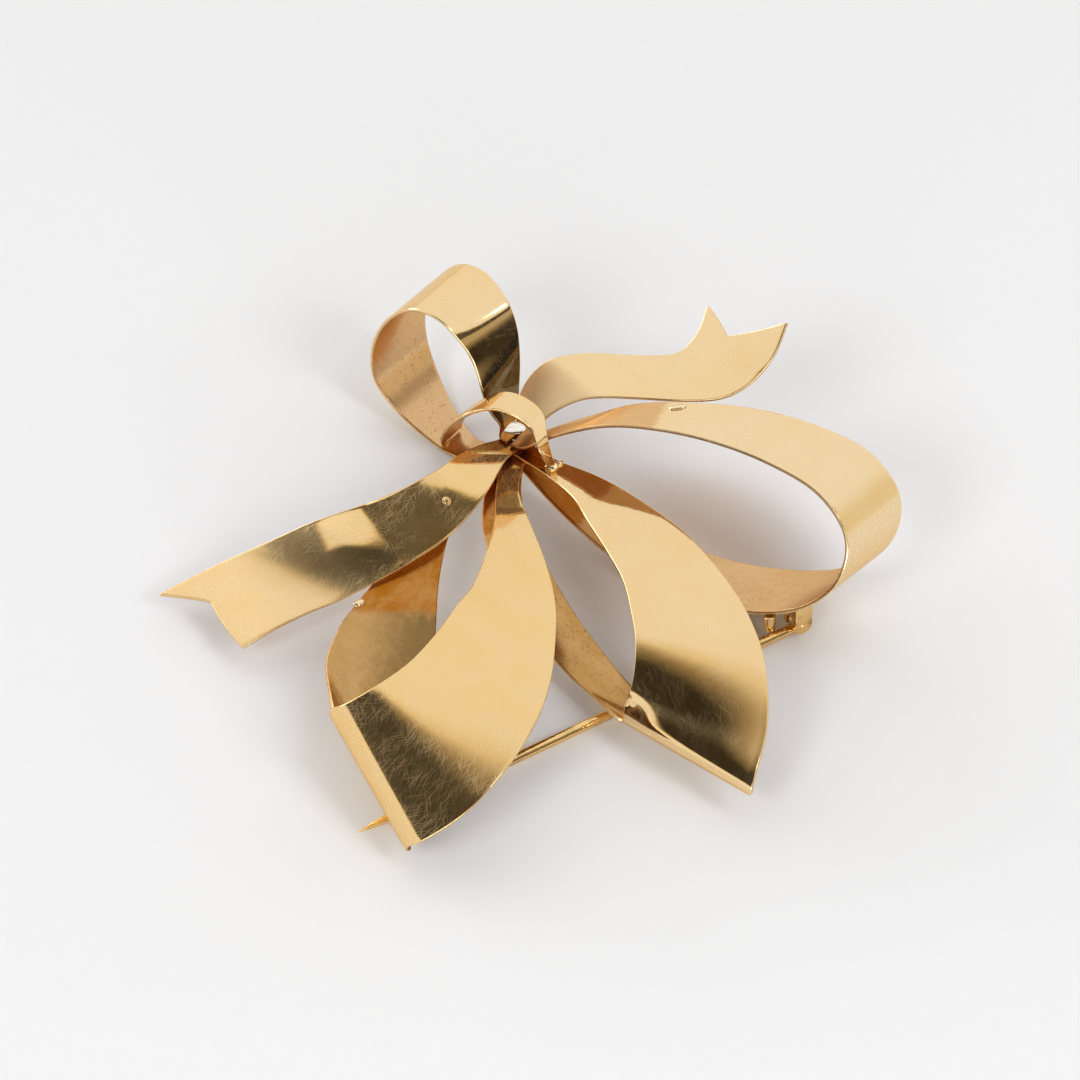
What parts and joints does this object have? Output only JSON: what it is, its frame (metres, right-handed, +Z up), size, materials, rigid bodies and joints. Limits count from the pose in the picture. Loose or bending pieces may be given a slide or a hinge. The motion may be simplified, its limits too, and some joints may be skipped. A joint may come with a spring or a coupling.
{
  "type": "bow brooch",
  "caption": "Polished gold ribbon bow brooch with open loops, swallow-tailed ends, a narrow knot band and a hinged pin on the back.",
  "frame": {"origin": "on the surface that the brooch lies on, under the middle of its outline", "axes": "+Z up, out of the front of the bow; +X to the right and +Y to the top of the bow as it is seen lying"},
  "size_m": [0.0566, 0.0538, 0.0148],
  "materials": {
    "gold_sheet": "polished yellow gold sheet",
    "gold_fittings": "worn yellow gold",
    "pin_wire": "drawn gold wire"
  },
  "bodies": {
    "bow": {"loop_top": "gold_sheet", "loop_right": "gold_sheet", "loop_lower_right": "gold_sheet", "loop_lower_left": "gold_sheet", "tail_left": "gold_sheet", "tail_right": "gold_sheet", "knot_band": "gold_sheet", "hinge": "gold_fittings", "hinge_rivet": "gold_fittings", "pin_stop": "gold_fittings", "pin_catch": "gold_fittings"},
    "pin": {"pin_stem": "pin_wire"}
  },
  "joints": [
    {"name": "pin_hinge", "type": "hinge", "parent": "bow", "child": "pin", "pos_m": [0.02041, -0.00177, 0.00125], "axis": [0.5339, -0.8456, 0], "range_deg": [0, 70]}
  ]
}
